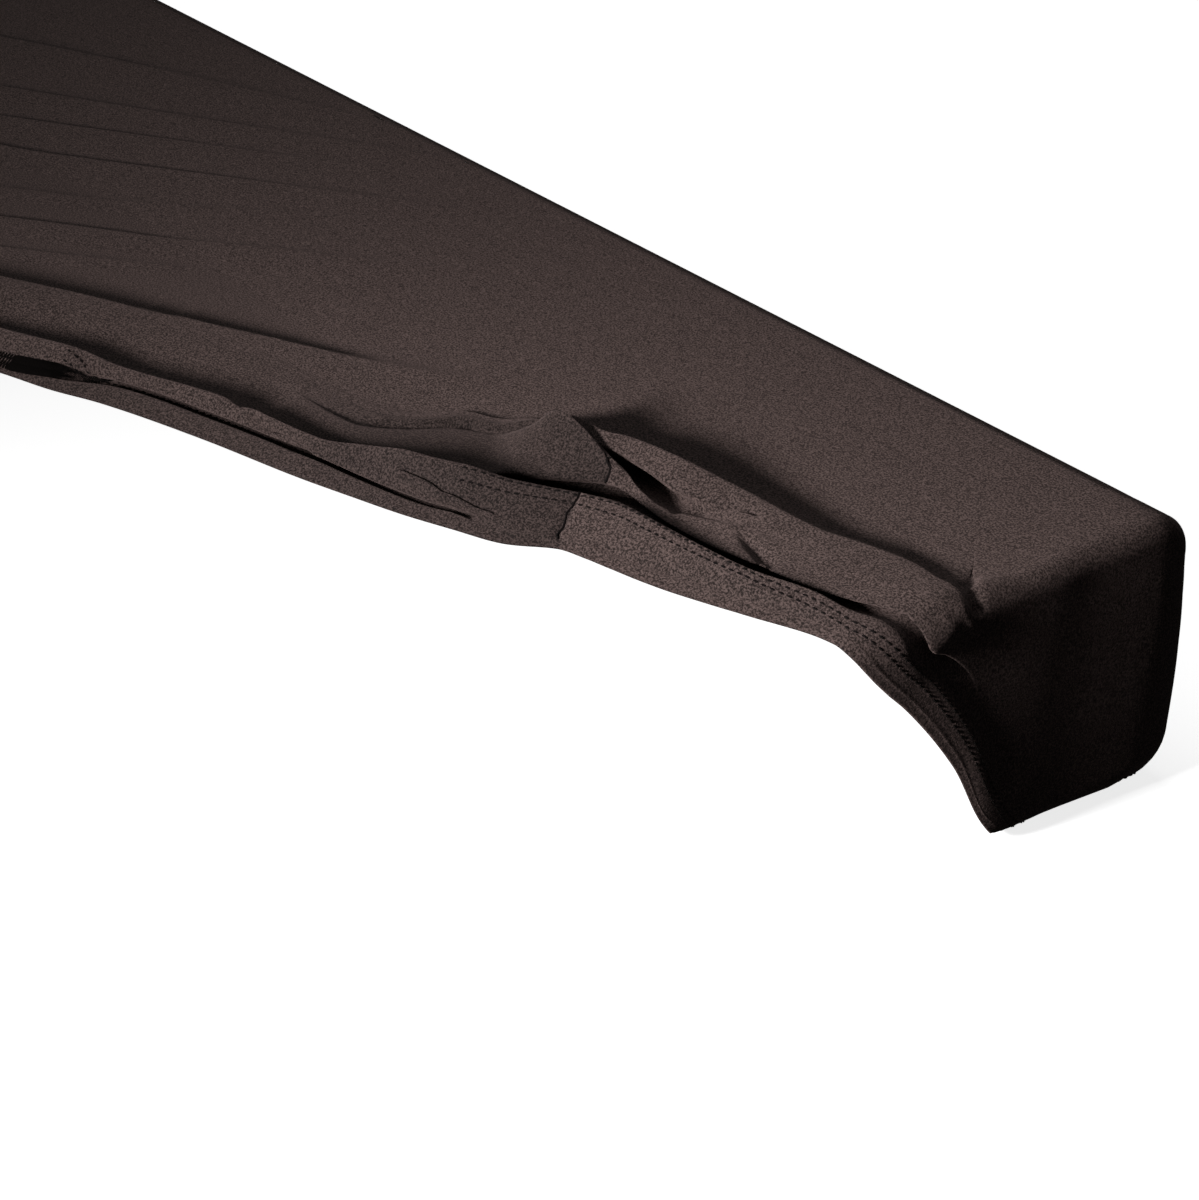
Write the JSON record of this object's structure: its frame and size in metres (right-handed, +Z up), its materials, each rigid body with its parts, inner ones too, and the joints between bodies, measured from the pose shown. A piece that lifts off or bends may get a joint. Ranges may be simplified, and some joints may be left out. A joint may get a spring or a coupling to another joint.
{
  "type": "keyboard dust cover",
  "caption": "Fitted dust cover of stretch knit for a slab keyboard, hollow and open below, with its right front corner pulled back in a bundle of folds that bares the front right part.",
  "frame": {"origin": "underside of the top, at the middle of the length, where the keyboard's own top carries the cloth", "axes": "+X along the cover to its right end, +Y to its back, +Z up"},
  "size_m": [1.0735, 0.3695, 0.1207],
  "materials": {
    "knit": "matt stretch knit, warm charcoal with a fine heather speckle"
  },
  "bodies": {
    "root": {"cover": "knit"}
  },
  "joints": []
}
